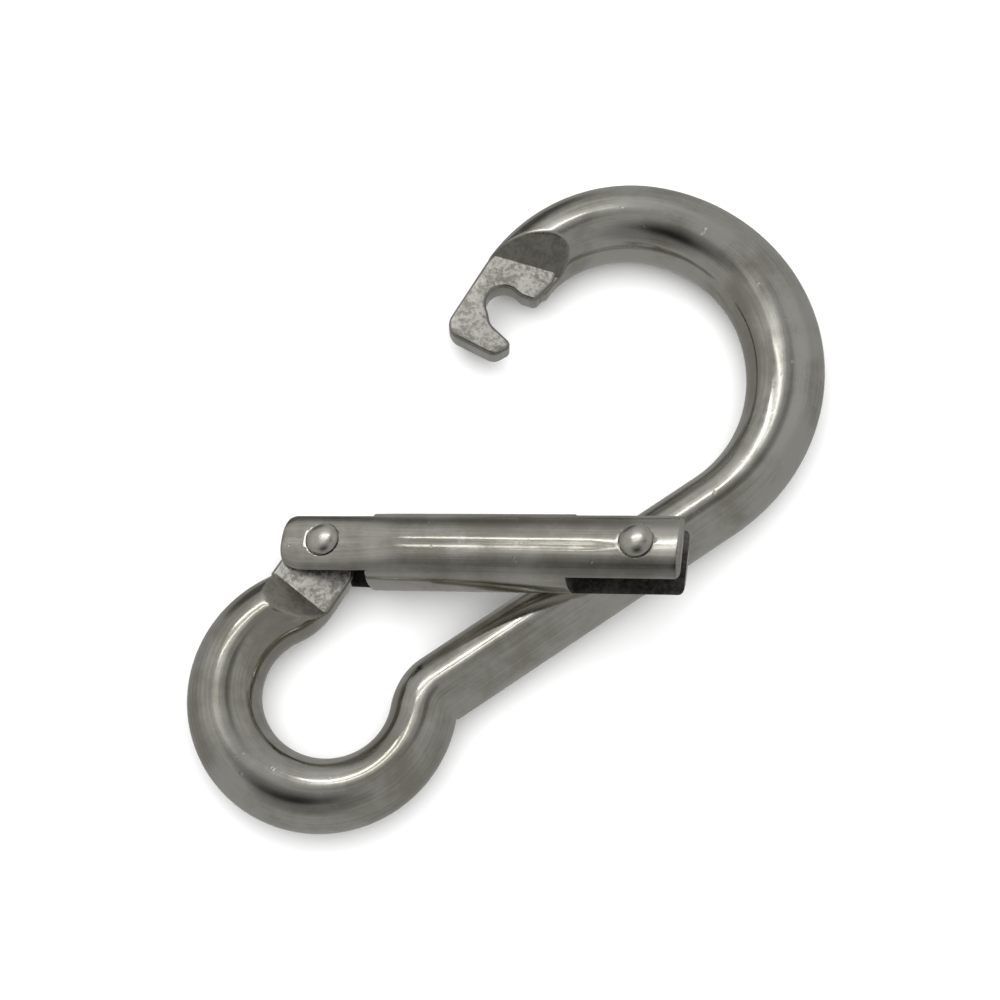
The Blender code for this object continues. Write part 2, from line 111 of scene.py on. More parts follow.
# Outline corners of the two flattened ends on the gate line, as (t, w, corner radius)
NOSE_LIP = ((40.08, -1.53, 0), (38.7, -0.2, 2.2), (37.75, 4.3, 0.9), (34.95, 2.9, 1.7), (34.2, -5.2, 2.4))
NOSE_ROOT = ((46.0, -5.7, 0), (50.5, -5.2, 0), (50.5, 3.3, 0), (48.5, 3.75, 0))
NOSE_FINGER = ((44.9, 3.15, 0.9), (44.45, 1.2, 0))
TANG_RIGHT = ((2.7, -3.6, 1.4), (-0.5, -4.75, 1.5), (-7.2, -4.75, 0))
TANG_LEFT = ((-9.2, -3.4, 0), (-9.6, 3.6, 0), (-7.4, 4.75, 0), (-1.0, 4.65, 1.5))

# The gate: a thick tube with a fork at each end
GATE_START = -5.65
GATE_END = 48.2
GATE_START_SLANT = -0.11
GATE_END_SLANT = 0.09
GATE_TOP = (5.1, 5.45)
GATE_FRONT_FOOT = (5.3, 5.1)
GATE_BACK_FOOT = (4.95, 4.65)
GATE_HALF_Z = 4.4
GATE_PIVOT_HALF_Z = 4.0
GATE_FRONT_ROUNDNESS = 2.1
GATE_BACK_ROUNDNESS = 2.7
HEEL_ROUNDNESS = 2.8
# A shallow lengthwise hollow in the gate's front: place across, half width, depth, and how it
# fades in from each rivet
HOLLOW = (-0.55, 0.55, 0.07)
HOLLOW_START = 2.0
HOLLOW_FADE = 5.0
GATE_SIDES = 192
HEEL_STATIONS = 12
MIDDLE_STATIONS = 90
GATE_END_ROUND = 0.7
HEEL_LOW_ROUND = 3.4
HEEL_HIGH_ROUND = 1.8
HEEL_HIGH_DROP = 0.25
HEEL_SPREAD_START = 2.0
HEEL_SPREAD_END = 12.0
GATE_FLOAT = 0.1
PIVOT_SLOT_HALF = 3.15
PIVOT_SLOT_END = 6.3
NOSE_SLOT_HALF = 2.6
NOSE_SLOT_START = 33.5
SLOT_END_CLOSENESS = 0.05
SLOT_SIDE_CLOSENESS = 0.02
BORE_RADIUS = 2.7
BORE_START = 4.0
BORE_END = 20.6
EDGE_ROUND = 0.16
EDGE_SEGMENTS = 2
CUT_EDGE_ANGLE = math.radians(40.0)

# Rivets
PIVOT_SHANK_RADIUS = 1.5
LATCH_SHANK_RADIUS = 1.75
SHANK_GAP = 0.1
HEAD_RADIUS = 2.25
HEAD_HEIGHT = 1.05
HEAD_SINK = 0.35
HEAD_GAP = 0.12
FLUSH_END_GAP = 0.1

# How far a cutter reaches past what it cuts
CUTTER_REACH = 9.0

ALONG = Vector((math.cos(GATE_LINE_ANGLE), math.sin(GATE_LINE_ANGLE), 0.0))
INWARD = Vector((math.sin(GATE_LINE_ANGLE), -math.cos(GATE_LINE_ANGLE), 0.0))
UP = Vector((0.0, 0.0, 1.0))

joints = {joint["name"]: joint for joint in frame["joints"]}
PIVOT = Vector(joints["gate_swing"]["pos_m"])
RIVET = Vector(joints["gate_swing"]["axis"]).normalized()
GATE_ALONG = -Vector(joints["plunger_slide"]["axis"]).normalized()
GATE_FRAME = Matrix.Translation(RIVET * GATE_FLOAT) @ (
    Matrix((GATE_ALONG, RIVET.cross(GATE_ALONG), RIVET)).transposed().to_4x4()
)


def on_gate_line(t, w, z=0.0):
    """The point t along the closed gate line and w into the bowl."""
    return ALONG * t + INWARD * w + UP * z


def mixed(first, second, part):
    ease = part * part * (3.0 - 2.0 * part)
    return tuple(a + (b - a) * ease for a, b in zip(first, second))


# ---------------------------------------------------------------- mesh helpers


def mesh_object(name, points, faces, uvs=None):
    """A mesh from points in millimetres about the pivot, faces turned outward, uvs one per corner."""
    mesh = bpy.data.meshes.new(name)
    mesh.from_pydata([PIVOT + Vector(point) * MM for point in points], [], faces)
    layer = mesh.uv_layers.new(name="surface")
    if uvs is not None:
        layer.data.foreach_set("uv", np.array(uvs, float).ravel())
    shape = bmesh.new()
    shape.from_mesh(mesh)
    bmesh.ops.recalc_face_normals(shape, faces=shape.faces)
    shape.to_mesh(mesh)
    shape.free()
    thing = bpy.data.objects.new(name, mesh)
    bpy.context.scene.collection.objects.link(thing)
    return thing


def skin(name, rings, stations=None, girths=None):
    """A closed body through rings of equal point count, capped at both ends.

    stations and girths give each ring's and each side's place on the surface, for the finish.
    """
    count = len(rings[0])
    stations = stations or [float(index) for index in range(len(rings))]
    girths = girths or [float(side) for side in range(count + 1)]
    points = [point for ring in rings for point in ring]
    last = len(points) - count
    faces = [tuple(range(count)), tuple(range(last, len(points)))]
    uvs = [(stations[0], girths[side]) for side in range(count)]
    uvs += [(stations[-1], girths[side]) for side in range(count)]
    for row in range(len(rings) - 1):
        start = row * count
        for side in range(count):
            after = (side + 1) % count
            faces.append((start + side, start + after, start + count + after, start + count + side))
            low, high = stations[row], stations[row + 1]
            near, far = girths[side], girths[side + 1]
            uvs += [(low, near), (low, far), (high, far), (high, near)]
    return mesh_object(name, points, faces, uvs)


def apply_modifiers(thing):
    graph = bpy.context.evaluated_depsgraph_get()
    mesh = bpy.data.meshes.new_from_object(thing.evaluated_get(graph))
    old = thing.data
    thing.modifiers.clear()
    thing.data = mesh
    bpy.data.meshes.remove(old)


def combine(target, operation, other):
    """Cuts the other shape from the target, or joins it on, and removes the other."""
    modifier = target.modifiers.new("combine", "BOOLEAN")
    modifier.operation = operation
    modifier.solver = "EXACT"
    modifier.object = other
    apply_modifiers(target)
    bpy.data.objects.remove(other)


def turned(name, profile, local, sides=64):
    """A body of revolution about local z, from a profile of (radius, height)."""
    rings = []
    for radius, height in profile:
        angles = [math.tau * side / sides for side in range(sides)]
        ring = [(radius * math.cos(angle), radius * math.sin(angle), height) for angle in angles]
        rings.append([local @ Vector(point) for point in ring])
    return skin(name, rings)


def smooth(thing, degrees=32.0):
    thing.data.shade_smooth()
    thing.data.set_sharp_from_angle(angle=math.radians(degrees))


# ---------------------------------------------------------------- the bent bar


def right_of(heading):
    return Vector((math.sin(heading), -math.cos(heading), 0.0))


class BarPath:
    """Places along the bar's middle line, each with its heading, half sizes and length so far."""

    def __init__(self, position, heading, section):
        self.position = position.copy()
        self.heading = heading
        self.section = section
        self.length = 0.0
        self.places = [(position.copy(), heading, section, 0.0)]

    def move(self, place, heading, section):
        self.length += (place - self.position).length
        self.position = place
        self.heading = heading
        self.section = section
        self.places.append((place.copy(), heading, section, self.length))

    def run(self, length, section):
        start = self.position.copy()
        first = self.section
        pieces = max(2, round(length / RUN_STEP))
        forward = Vector((math.cos(self.heading), math.sin(self.heading), 0.0))
        for piece in range(1, pieces + 1):
            part = piece / pieces
            self.move(start + forward * (length * part), self.heading, mixed(first, section, part))

    def bend(self, radius, turn, section, step=ARC_STEP):
        """An arc to the right, or to the left where turn is negative."""
        side = math.copysign(1.0, turn)
        heading = self.heading
        first = self.section
        centre = self.position + right_of(heading) * (radius * side)
        pieces = max(2, round(abs(turn) / step))
        for piece in range(1, pieces + 1):
            part = piece / pieces
            angle = heading - turn * part
            self.move(centre - right_of(angle) * (radius * side), angle, mixed(first, section, part))


def cross_point(line_offset):
    """How far along a straight run the circle one neck radius outside the eye ring meets it."""
    reach = EYE_RADIUS + NECK_RADIUS
    return math.sqrt(reach**2 - (line_offset + NECK_RADIUS) ** 2)


def bar_path():
    path = BarPath(on_gate_line(BAR_END_T, NOSE_OFFSET), GATE_LINE_ANGLE, NOSE_TIP_BAR)
    path.run(BOW_START_T - BAR_END_T, NOSE_BAR)
    sections = (BOW_BAR, BOW_BAR, SPINE_BAR)
    steps = (NOSE_ARC_STEP, ARC_STEP, ARC_STEP)
    for (radius, turn), section, step in zip(BOW_ARCS, sections, steps):
        path.bend(radius, math.radians(turn), section, step)

    forward = Vector((math.cos(path.heading), math.sin(path.heading), 0.0))
    to_eye = EYE_CENTRE - path.position
    spine_offset = to_eye.dot(right_of(path.heading))
    path.run(to_eye.dot(forward) - cross_point(spine_offset), SPINE_BAR)
    neck = math.acos((spine_offset + NECK_RADIUS) / (EYE_RADIUS + NECK_RADIUS))
    path.bend(NECK_RADIUS, -neck, SPINE_NECK_BAR)

    tang_offset = (EYE_CENTRE - INWARD * TANG_OFFSET).dot(INWARD)
    tang_neck = math.acos((tang_offset + NECK_RADIUS) / (EYE_RADIUS + NECK_RADIUS))
    ring_turn = (path.heading - GATE_LINE_ANGLE + tang_neck) % math.tau
    path.bend(EYE_RADIUS, ring_turn * 0.5, EYE_BAR)
    path.bend(EYE_RADIUS, ring_turn * 0.5, NECK_BAR)
    path.bend(NECK_RADIUS, -tang_neck, NECK_BAR)
    path.run(-path.position.dot(ALONG) + TANG_BAR_END_T, TANG_BAR)
    return path.places


def ramp_height(point, ramp):
    """Height of the ramp's plane over a point of the bar; ramp is (start, slant, way it rises)."""
    start, slant, rises = ramp
    past = (point.dot(ALONG) - start + slant * point.dot(INWARD)) * rises
    return max(CORE_HALF, PLATE_HALF + RAMP_SLOPE * past)


def soft_least(a, b, softness):
    """The smaller value, with a rounded change from one to the other."""
    near = max(softness - abs(a - b), 0.0)
    return min(a, b) - near * near / (4.0 * softness)


def bar():
    places = bar_path()
    end = places[-1][3]
    rings = []
    stations = []
    for place, heading, (half_width, half_height), length in places:
        ramp = NOSE_RAMP if length < end * 0.5 else TANG_RAMP
        ring = []
        for side in range(BAR_SIDES):
            angle = math.tau * side / BAR_SIDES
            point = place + right_of(heading) * (half_width * math.cos(angle))
            height = half_height * math.sin(angle)
            if min(length, end - length) < RAMP_LENGTH:
                limit = ramp_height(point, ramp)
                height = math.copysign(soft_least(abs(height), limit, RAMP_SOFTNESS), height)
            ring.append(point + UP * height)
        rings.append(ring)
        stations.append(length)
    girths = [math.tau * BOW_BAR[0] * side / BAR_SIDES for side in range(BAR_SIDES + 1)]
    return skin("hook_bar", rings, stations, girths)


# ---------------------------------------------------------------- flattened ends


def rounded(corners, step=math.radians(5.0)):
    """An outline whose corners (x, y, radius) are replaced with arcs."""
    outline = []
    for index, (x, y, radius) in enumerate(corners):
        corner = Vector((x, y))
        if radius == 0:
            outline.append(corner)
            continue
        before = (Vector(corners[index - 1][:2]) - corner).normalized()
        after = (Vector(corners[(index + 1) % len(corners)][:2]) - corner).normalized()
        half = before.angle(after) * 0.5
        centre = corner + (before + after).normalized() * (radius / math.sin(half))
        start = corner + before * (radius / math.tan(half)) - centre
        turn = math.copysign(math.pi - 2.0 * half, before.cross(after) * -1.0)
        pieces = max(1, math.ceil(abs(turn) / step))
        for piece in range(pieces + 1):
            outline.append(centre + Matrix.Rotation(turn * piece / pieces, 2) @ start)
    return outline


def inset(outline, distance):
    """The outline moved inward; it runs anticlockwise."""
    moved = []
    for index, point in enumerate(outline):
        before = (point - outline[index - 1]).normalized()
        after = (outline[(index + 1) % len(outline)] - point).normalized()
        normal = Vector((-before.y - after.y, before.x + after.x)).normalized()
        stretch = max(0.5, normal.dot(Vector((-after.y, after.x))))
        moved.append(point + normal * (distance / stretch))
    return moved


def anticlockwise(outline):
    area = sum(outline[i - 1].cross(point) for i, point in enumerate(outline))
    return outline if area > 0 else outline[::-1]


def plate(name, outline):
    """A flat plate with rounded edges on the gate line, from an outline in (t, w)."""
    outline = anticlockwise(outline)
    levels = []
    for angle in range(0, 91, 15):
        turn = math.radians(angle)
        shrink = PLATE_EDGE * (1.0 - math.sin(turn))
        levels.append((shrink, PLATE_HALF - PLATE_EDGE * (1.0 - math.cos(turn))))
    levels = [(shrink, -height) for shrink, height in levels] + [
        (shrink, height) for shrink, height in reversed(levels)
    ]
    rings = []
    for shrink, height in levels:
        rings.append([on_gate_line(point.x, point.y, height) for point in inset(outline, shrink)])
    return skin(name, rings)


def arc(centre, radius, span, step):
    """Points of an arc from one angle to another, in degrees; radius is a function of the angle."""
    start, end = span
    pieces = round(abs(end - start) / step)
    points = []
    for piece in range(pieces + 1):
        angle = math.radians(start + (end - start) * piece / pieces)
        points.append(centre + Vector((math.cos(angle), math.sin(angle))) * radius(angle))
    return points


def nose_outline():
    centre = Vector((NOTCH_REACH, NOTCH_OFFSET))
    notch = arc(centre, lambda angle: NOTCH_RADIUS, NOTCH_ARC, 5)
    return notch + rounded(NOSE_LIP + NOSE_ROOT + NOSE_FINGER)


def tang_outline():
    def cam(angle):
        return CAM_RADIUS + CAM_RISE * angle / CAM_TURN

    return arc(Vector((0.0, 0.0)), cam, CAM_ARC, 5) + rounded(TANG_RIGHT + TANG_LEFT)


def hook():
    body = bar()
    combine(body, "UNION", plate("nose_plate", nose_outline()))
    combine(body, "UNION", plate("tang_plate", tang_outline()))
    through = [(RIVET_HOLE_RADIUS, -CUTTER_REACH), (RIVET_HOLE_RADIUS, CUTTER_REACH)]
    combine(body, "DIFFERENCE", turned("rivet_hole", through, Matrix.Identity(4)))
    body.name = "bent_hook"
    smooth(body)
    return body


def paint_ends(body, flat_index, ramp_index):
    """Gives the pressed flats and the ramps of both ends their own finishes."""
    for face in body.data.polygons:
        point = (face.center - PIVOT) / MM
        t = point.dot(ALONG)
        at_nose = NOSE_END_SPAN[0] < t < NOSE_END_SPAN[1]
        at_tang = TANG_END_SPAN[0] < t < TANG_END_SPAN[1]
        if abs(point.dot(INWARD)) > CUTTER_REACH or not (at_nose or at_tang):
            continue
        height = abs(point.z)
        above_ramp = abs(height - ramp_height(point, NOSE_RAMP if at_nose else TANG_RAMP))
        if abs(face.normal.z) > LEVEL_NORMAL and abs(height - PLATE_HALF) < FLAT_CLOSENESS:
            face.material_index = flat_index
        elif above_ramp < RAMP_CLOSENESS and abs(face.normal.z) < RAMP_NORMAL:
            face.material_index = ramp_index


# ---------------------------------------------------------------- the gate


def corner_drop(distance, radius):
    """How far a rounded corner falls away at this distance from the end."""
    if distance >= radius:
        return 0.0
    return radius - math.sqrt(max(0.0, radius**2 - (radius - distance) ** 2))


def gate_stations():
    """Places along the gate, close together where its ends are rounded."""
    ends = [GATE_END_ROUND * (1.0 - math.cos(math.radians(angle))) for angle in range(0, 91, 9)]
    heel_end = GATE_START + HEEL_LOW_ROUND
    heel = np.linspace(GATE_START + GATE_END_ROUND, heel_end, HEEL_STATIONS)[1:]
    middle = np.linspace(heel_end, GATE_END - GATE_END_ROUND, MIDDLE_STATIONS)[1:-1]
    start = [GATE_START + step for step in ends]
    finish = [GATE_END - step for step in reversed(ends)]
    return start + [*heel, *middle] + finish


def blend(first, second, part):
    return mixed((first,), (second,), min(1.0, max(0.0, part)))[0]


def hollow_depth(x, y):
    """Depth of the hollow in the gate's front at a point."""
    place, half_width, depth = HOLLOW
    away = (y - place) / half_width
    from_rivet = min(x, LATCH_REACH - x)
    return depth * math.exp(-away * away) * blend(0.0, 1.0, (from_rivet - HOLLOW_START) / HOLLOW_FADE)


def gate_ring(x):
    """The gate's outline at x. Its front is rounder than its back, and its heel is squarer."""
    from_start = x - GATE_START
    from_end = GATE_END - x
    part = from_start / (GATE_END - GATE_START)
    spread = (x - HEEL_SPREAD_START) / (HEEL_SPREAD_END - HEEL_SPREAD_START)
    edge = corner_drop(min(from_start, from_end), GATE_END_ROUND)
    low_drop = max(edge, corner_drop(from_start, HEEL_LOW_ROUND))
    high_drop = max(edge, corner_drop(from_start, HEEL_HIGH_ROUND)) + blend(HEEL_HIGH_DROP, 0.0, spread)
    thick = blend(GATE_PIVOT_HALF_Z, GATE_HALF_Z, spread) - edge
    slant = GATE_START_SLANT + (GATE_END_SLANT - GATE_START_SLANT) * part
    ring = []
    for side in range(GATE_SIDES):
        angle = math.tau * side / GATE_SIDES
        cosine = math.cos(angle)
        sine = math.sin(angle)
        front = (1.0 + sine) / 2.0
        power = 2.0 / blend(GATE_BACK_ROUNDNESS, blend(HEEL_ROUNDNESS, GATE_FRONT_ROUNDNESS, spread), front)
        if cosine > 0:
            half_y = GATE_TOP[0] + (GATE_TOP[1] - GATE_TOP[0]) * part - high_drop
        else:
            widths = [start + (end - start) * part for start, end in (GATE_BACK_FOOT, GATE_FRONT_FOOT)]
            half_y = blend(*widths, front) - low_drop
        y = math.copysign(abs(cosine) ** power, cosine) * half_y
        z = math.copysign(abs(sine) ** power, sine) * thick
        if sine > 0:
            z -= hollow_depth(x, y)
        ring.append((x + slant * z, y, z))
    return ring


def box(name, low, high):
    ring = [(low[1], low[2]), (high[1], low[2]), (high[1], high[2]), (low[1], high[2])]
    rings = [[GATE_FRAME @ Vector((x, y, z)) for y, z in ring] for x in (low[0], high[0])]
    return skin(name, rings)


def rivet_hole(half_z, shank, back_head):
    """Profile of the hole for a rivet, with a shallow seat for each head."""
    seat = HEAD_RADIUS + HEAD_GAP
    floor = half_z - HEAD_SINK - HEAD_GAP
    hole = shank + SHANK_GAP
    front = [(hole, floor), (seat, floor), (seat, CUTTER_REACH)]
    if not back_head:
        return [(hole, -CUTTER_REACH)] + front
    return [(radius, -height) for radius, height in reversed(front)] + front


def rivet_places():
    """Name, place in the gate, cheek height, shank radius and back head of each rivet."""
    return (
        ("pivot_rivet", (0.0, 0.0, 0.0), GATE_PIVOT_HALF_Z, PIVOT_SHANK_RADIUS, True),
        ("latch_pin", (LATCH_REACH, LATCH_SIDE, 0.0), GATE_HALF_Z, LATCH_SHANK_RADIUS, False),
    )


def gate():
    stations = gate_stations()
    rings = [[GATE_FRAME @ Vector(point) for point in gate_ring(x)] for x in stations]
    girths = [math.tau * GATE_TOP[0] * side / GATE_SIDES for side in range(GATE_SIDES + 1)]
    body = skin("gate_tube", rings, [float(x) for x in stations], girths)
    low = (GATE_START - CUTTER_REACH, -CUTTER_REACH, -PIVOT_SLOT_HALF)
    high = (PIVOT_SLOT_END, CUTTER_REACH, PIVOT_SLOT_HALF)
    combine(body, "DIFFERENCE", box("pivot_slot", low, high))
    low = (NOSE_SLOT_START, -CUTTER_REACH, -NOSE_SLOT_HALF)
    high = (GATE_END + CUTTER_REACH, CUTTER_REACH, NOSE_SLOT_HALF)
    combine(body, "DIFFERENCE", box("nose_slot", low, high))
    lengthwise = GATE_FRAME @ Matrix.Rotation(math.radians(90.0), 4, "Y")
    bore = [(BORE_RADIUS, BORE_START), (BORE_RADIUS, BORE_END)]
    combine(body, "DIFFERENCE", turned("spring_bore", bore, lengthwise))
    for name, place, half_z, shank, back_head in rivet_places():
        local = GATE_FRAME @ Matrix.Translation(place)
        combine(body, "DIFFERENCE", turned(f"{name}_hole", rivet_hole(half_z, shank, back_head), local))
    round_edges(body)
    return body


def paint_slot_shade(body, slot_shade_index):
    """Gives the walls inside the two forks a rough finish whose near-black colour is painted shade for the
    insides of the forks.
    """
    inverse = GATE_FRAME.inverted()
    pivot_end = PIVOT_SLOT_END + SLOT_END_CLOSENESS
    nose_start = NOSE_SLOT_START - SLOT_END_CLOSENESS
    for face in body.data.polygons:
        x, y, z = inverse @ ((face.center - PIVOT) / MM)
        half = PIVOT_SLOT_HALF if x < pivot_end else NOSE_SLOT_HALF
        in_fork = x < pivot_end or x > nose_start
        if in_fork and abs(z) < half + SLOT_SIDE_CLOSENESS and abs(y) < GATE_TOP[0]:
            face.material_index = slot_shade_index


def round_edges(body):
    """Breaks the cut edges of a body, as tumbling does."""
    modifier = body.modifiers.new("edges", "BEVEL")
    modifier.width = EDGE_ROUND * MM
    modifier.segments = EDGE_SEGMENTS
    modifier.limit_method = "ANGLE"
    modifier.angle_limit = CUT_EDGE_ANGLE
    modifier.use_clamp_overlap = True
    apply_modifiers(body)
    smooth(body, 45.0)


# ---------------------------------------------------------------- rivets


def rivet(name, place, half_z, shank, back_head):
    """A pin with a domed head in front, and behind it another or a flush end."""
    sink = half_z - HEAD_SINK
    dome = []
    for degrees in range(0, 90, 6):
        angle = math.radians(degrees)
        dome.append((HEAD_RADIUS * math.cos(angle), half_z + HEAD_HEIGHT * math.sin(angle)))
    upper = [(shank, sink), (HEAD_RADIUS, sink)] + dome
    lower = [(shank, FLUSH_END_GAP - half_z)]
    if back_head:
        lower = [(radius, -height) for radius, height in reversed(upper)]
    local = GATE_FRAME @ Matrix.Translation(place)
    pin = turned(f"{name}_turned", lower + upper, local)
    smooth(pin)
    return pin


# ---------------------------------------------------------------- materials


class Finish:
    """A metal's material, built up node by node."""

    def __init__(self, name):
        self.material = bpy.data.materials.new(name)
        self.material.use_nodes = True
        self.tree = self.material.node_tree
        self.surface = self.tree.nodes["Principled BSDF"]
        self.surface.inputs["Metallic"].default_value = 1.0

    def node(self, kind, **values):
        made = self.tree.nodes.new(kind)
        for key, value in values.items():
            setattr(made, key, value)
        return made

    def link(self, source, target):
        self.tree.links.new(source, target)

    def place(self, source, scale):
        """Coordinates from the object's place or its surface, stretched by scale."""
        where = self.node("ShaderNodeTexCoord")
        mapping = self.node("ShaderNodeMapping")
        mapping.inputs["Scale"].default_value = scale
        self.link(where.outputs[source], mapping.inputs["Vector"])
        return mapping.outputs["Vector"]

    def noise(self, coordinates, scale, detail=4.0, roughness=0.55, distortion=0.0):
        made = self.node("ShaderNodeTexNoise")
        made.inputs["Scale"].default_value = scale
        made.inputs["Detail"].default_value = detail
        made.inputs["Roughness"].default_value = roughness
        made.inputs["Distortion"].default_value = distortion
        self.link(coordinates, made.inputs["Vector"])
        return made.outputs["Fac"]

    def ramp(self, value, low, high, out_low=0.0, out_high=1.0):
        made = self.node("ShaderNodeMapRange", interpolation_type="SMOOTHSTEP")
        made.inputs["From Min"].default_value = low
        made.inputs["From Max"].default_value = high
        made.inputs["To Min"].default_value = out_low
        made.inputs["To Max"].default_value = out_high
        self.link(value, made.inputs["Value"])
        return made.outputs["Result"]

    def math(self, operation, first, second):
        made = self.node("ShaderNodeMath", operation=operation)
        for socket, value in zip(made.inputs, (first, second)):
            if isinstance(value, float):
                socket.default_value = value
            else:
                self.link(value, socket)
        return made.outputs["Value"]

    def colours(self, value, low, high):
        made = self.node("ShaderNodeMix", data_type="RGBA")
        made.inputs[6].default_value = (*low, 1.0)
        made.inputs[7].default_value = (*high, 1.0)
        self.link(value, made.inputs[0])
        return made.outputs[2]

    def bump(self, height, strength, distance, normal=None):
        made = self.node("ShaderNodeBump")
        made.inputs["Strength"].default_value = strength
        made.inputs["Distance"].default_value = distance * MM
        self.link(height, made.inputs["Height"])
        if normal is not None:
            self.link(normal, made.inputs["Normal"])
        return made.outputs["Normal"]


def polished(name, dark, light, rough, streak):
    """Tumbled and polished steel: a fine mottled grain, faint waves, long lines, pits and haze."""
    finish = Finish(name)
    body = finish.place("Object", (1.0, 1.0, 1.0))
    lines = finish.noise(finish.place("UV", streak), 1.0, detail=5.0, roughness=0.65)
    haze = finish.noise(body, 90.0, detail=5.0, roughness=0.6)
    fine = finish.noise(body, 2300.0, detail=3.0)
    waves = finish.noise(body, 140.0, detail=2.0, distortion=0.4)
    pits = finish.ramp(finish.noise(body, 700.0, detail=2.0), 0.68, 0.76)

    stain = finish.math("ADD", finish.math("MULTIPLY", haze, 0.75), finish.math("MULTIPLY", lines, 0.25))
    colour = finish.colours(finish.ramp(stain, 0.38, 0.6), dark, light)
    finish.link(colour, finish.surface.inputs["Base Color"])
    spread = finish.ramp(haze, 0.3, 0.7, rough, rough + 0.08)
    spread = finish.math("ADD", spread, finish.math("MULTIPLY", fine, 0.05))
    spread = finish.math("ADD", spread, finish.math("MULTIPLY", pits, 0.2))
    finish.link(spread, finish.surface.inputs["Roughness"])
    normal = finish.bump(waves, 0.35, 0.12)
    normal = finish.bump(lines, 0.12, 0.01, normal)
    normal = finish.bump(pits, 0.5, -0.02, normal)
    finish.link(finish.bump(fine, 0.5, 0.006, normal), finish.surface.inputs["Normal"])
    return finish.material


def pressed(name, dark, light, rough, grain):
    """Steel pressed or ground flat: a rough, mottled grain that catches the light."""
    finish = Finish(name)
    body = finish.place("Object", (1.0, 1.0, 1.0))
    blotches = finish.noise(body, 420.0, detail=6.0, roughness=0.75, distortion=0.8)
    specks = finish.noise(body, 1700.0, detail=4.0, roughness=0.75)
    both = finish.math("ADD", finish.math("MULTIPLY", blotches, 0.5), finish.math("MULTIPLY", specks, 0.5))
    colour = finish.colours(finish.ramp(both, 0.42, 0.57), dark, light)
    finish.link(colour, finish.surface.inputs["Base Color"])
    finish.link(finish.ramp(specks, 0.3, 0.7, rough, rough + 0.2), finish.surface.inputs["Roughness"])
    normal = finish.bump(blotches, 0.6, grain)
    finish.link(finish.bump(specks, 0.7, grain * 0.4, normal), finish.surface.inputs["Normal"])
    return finish.material


def finish_pieces():
    bar_steel = polished("bar_steel", (0.43, 0.415, 0.35), (0.66, 0.65, 0.595), 0.065, (0.06, 2.4, 1.0))
    flat_steel = pressed("flat_steel", (0.4, 0.385, 0.34), (0.93, 0.91, 0.84), 0.34, 0.16)
    ramp_steel = pressed("ramp_steel", (0.38, 0.36, 0.32), (0.5, 0.48, 0.43), 0.3, 0.03)
    gate_steel = polished("gate_steel", (0.41, 0.395, 0.335), (0.63, 0.615, 0.56), 0.09, (0.05, 3.0, 1.0))
    # The walls inside the forks: rough steel, coloured near black as painted shade for the insides of the
    # forks.
    painted_shade_slot_steel = pressed("painted_shade_slot_steel", (0.1, 0.095, 0.085), (0.22, 0.21, 0.19), 0.5, 0.05)
    rivet_steel = polished("rivet_head_steel", (0.55, 0.54, 0.48), (0.72, 0.7, 0.64), 0.16, (0.5, 0.5, 1.0))

    body = hook()
    for material in (bar_steel, flat_steel, ramp_steel):
        body.data.materials.append(material)
    paint_ends(body, 1, 2)
    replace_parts(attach(body, "hook"), "hook_body")

    tube = gate()
    tube.data.materials.clear()
    for material in (gate_steel, painted_shade_slot_steel):
        tube.data.materials.append(material)
    # The walls inside the forks get the painted shade.
    paint_slot_shade(tube, 1)
    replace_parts(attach(tube, "gate"), "gate")

    for (name, place, half_z, shank, back_head), rides in zip(rivet_places(), ("pivot", "gate")):
        pin = rivet(name, place, half_z, shank, back_head)
        pin.data.materials.append(rivet_steel)
        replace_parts(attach(pin, rides), name)

    spring_steel = polished("coil_steel", (0.4, 0.4, 0.38), (0.55, 0.55, 0.52), 0.25, (0.4, 0.4, 1.0))
    for name in ("spring_plunger", "gate_spring"):
        node = frame["nodes"][name]
        node.data.materials.clear()
        node.data.materials.append(spring_steel)


# ---------------------------------------------------------------- camera, floor and light

VIEW_TILT = math.radians(18.0)
VIEW_DISTANCE = 0.3
VIEW_TARGET = Vector((0.0225, 0.0073, 0.0))
FOCAL_LENGTH = 79.9
SENSOR_WIDTH = 36.0

FLOOR_HALF = 2.0
FLOOR_COLOUR = (0.86, 0.86, 0.86, 1.0)
SKY_GREY = 0.33
# Azimuth, angle from straight up, where the patch starts and ends to fade, and its change of grey
SKY_PATCHES = (
    (-132.0, 26.0, 6.0, 28.0, -0.18),
    (-103.0, 46.0, 8.0, 36.0, -0.14),
    (150.0, 50.0, 8.0, 45.0, 0.12),
    (100.0, 52.0, 4.0, 26.0, 0.16),
    (30.0, 45.0, 8.0, 34.0, 0.07),
    (43.0, 18.0, 3.0, 12.0, -0.17),
    (115.0, 34.0, 4.0, 19.0, 0.5),
    (155.0, 26.0, 2.0, 12.0, 0.25),
    (116.0, 97.0, 7.0, 24.0, -0.23),
)


def direction(azimuth, polar):
    """A direction from its azimuth and its angle from straight up, in degrees."""
    a, p = math.radians(azimuth), math.radians(polar)
    return Vector((math.sin(p) * math.cos(a), math.sin(p) * math.sin(a), math.cos(p)))


def camera():
    data = bpy.data.cameras.new("view")
    data.lens = FOCAL_LENGTH
    data.sensor_width = SENSOR_WIDTH
    thing = bpy.data.objects.new("view", data)
    back = Vector((0.0, -math.sin(VIEW_TILT), math.cos(VIEW_TILT)))
    thing.location = PIVOT + VIEW_TARGET + back * VIEW_DISTANCE
    thing.rotation_euler = (VIEW_TILT, 0.0, 0.0)
    bpy.context.scene.collection.objects.link(thing)
    bpy.context.scene.camera = thing


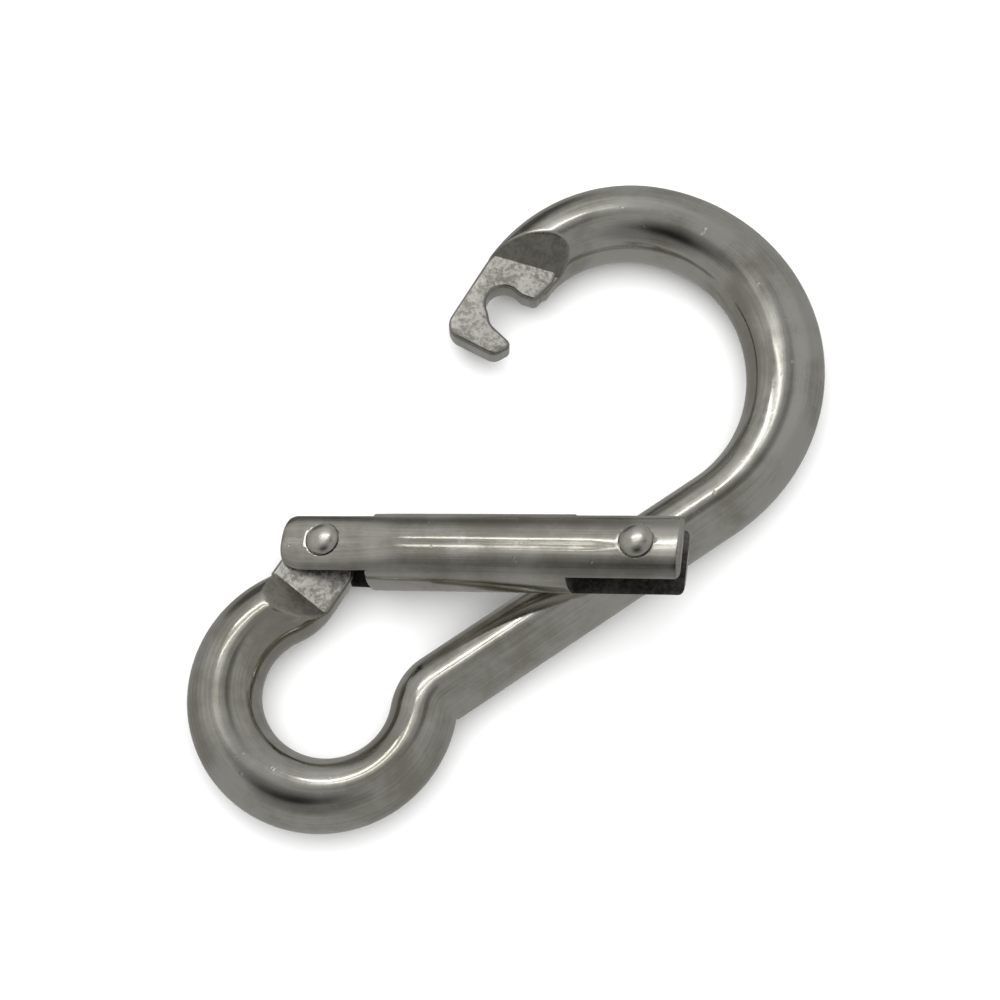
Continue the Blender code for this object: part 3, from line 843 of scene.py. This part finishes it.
def floor():
    side = FLOOR_HALF
    mesh = bpy.data.meshes.new("floor")
    corners = [(-side, -side, 0.0), (side, -side, 0.0), (side, side, 0.0), (-side, side, 0.0)]
    mesh.from_pydata(corners, [], [(0, 1, 2, 3)])
    thing = bpy.data.objects.new("floor", mesh)
    bpy.context.scene.collection.objects.link(thing)
    material = bpy.data.materials.new("floor")
    material.use_nodes = True
    surface = material.node_tree.nodes["Principled BSDF"]
    surface.inputs["Base Color"].default_value = FLOOR_COLOUR
    surface.inputs["Roughness"].default_value = 0.9
    surface.inputs["Specular IOR Level"].default_value = 0.0
    thing.data.materials.append(material)
    thing.visible_glossy = False


def area_light(name, azimuth, polar, distance, size, radiance, mirrored=True, turn=0.0):
    """A rectangular light facing the pivot, as bright per area as radiance says."""
    data = bpy.data.lights.new(name, "AREA")
    data.shape = "RECTANGLE"
    data.size, data.size_y = size
    data.energy = radiance * math.pi * size[0] * size[1]
    thing = bpy.data.objects.new(name, data)
    away = direction(azimuth, polar)
    facing = away.to_track_quat("Z", "Y") @ Quaternion((0.0, 0.0, 1.0), math.radians(turn))
    thing.location = PIVOT + away * distance
    thing.rotation_euler = facing.to_euler()
    thing.visible_glossy = mirrored
    bpy.context.scene.collection.objects.link(thing)


def sky():
    """Soft grey surroundings, brighter beyond the hook and darker towards the viewer."""
    world = bpy.data.worlds.new("surroundings")
    bpy.context.scene.world = world
    world.use_nodes = True
    tree = world.node_tree
    background = tree.nodes["Background"]
    where = tree.nodes.new("ShaderNodeTexCoord")
    total = None
    for azimuth, polar, start, end, change in SKY_PATCHES:
        towards = tree.nodes.new("ShaderNodeVectorMath")
        towards.operation = "DOT_PRODUCT"
        towards.inputs[1].default_value = direction(azimuth, polar)
        tree.links.new(where.outputs["Generated"], towards.inputs[0])
        patch = tree.nodes.new("ShaderNodeMapRange")
        patch.interpolation_type = "SMOOTHSTEP"
        patch.inputs["From Min"].default_value = math.cos(math.radians(end))
        patch.inputs["From Max"].default_value = math.cos(math.radians(start))
        patch.inputs["To Min"].default_value = 0.0
        patch.inputs["To Max"].default_value = change
        tree.links.new(towards.outputs["Value"], patch.inputs["Value"])
        added = tree.nodes.new("ShaderNodeMath")
        added.operation = "ADD"
        added.inputs[0].default_value = SKY_GREY
        if total is not None:
            tree.links.new(total, added.inputs[0])
        tree.links.new(patch.outputs["Result"], added.inputs[1])
        total = added.outputs["Value"]
    tree.links.new(total, background.inputs["Color"])


def studio():
    camera()
    floor()
    sky()
    area_light("window", 114.0, 37.0, 0.7, (0.38, 0.042), 3.4, turn=-22.0)
    area_light("lamp", 124.0, 28.0, 0.7, (0.3, 0.022), 2.6, turn=-22.0)
    area_light("fill", 0.0, 0.0, 0.9, (1.4, 1.4), 2.9, mirrored=False)
    bpy.context.scene.view_settings.view_transform = "Standard"


finish_pieces()
studio()
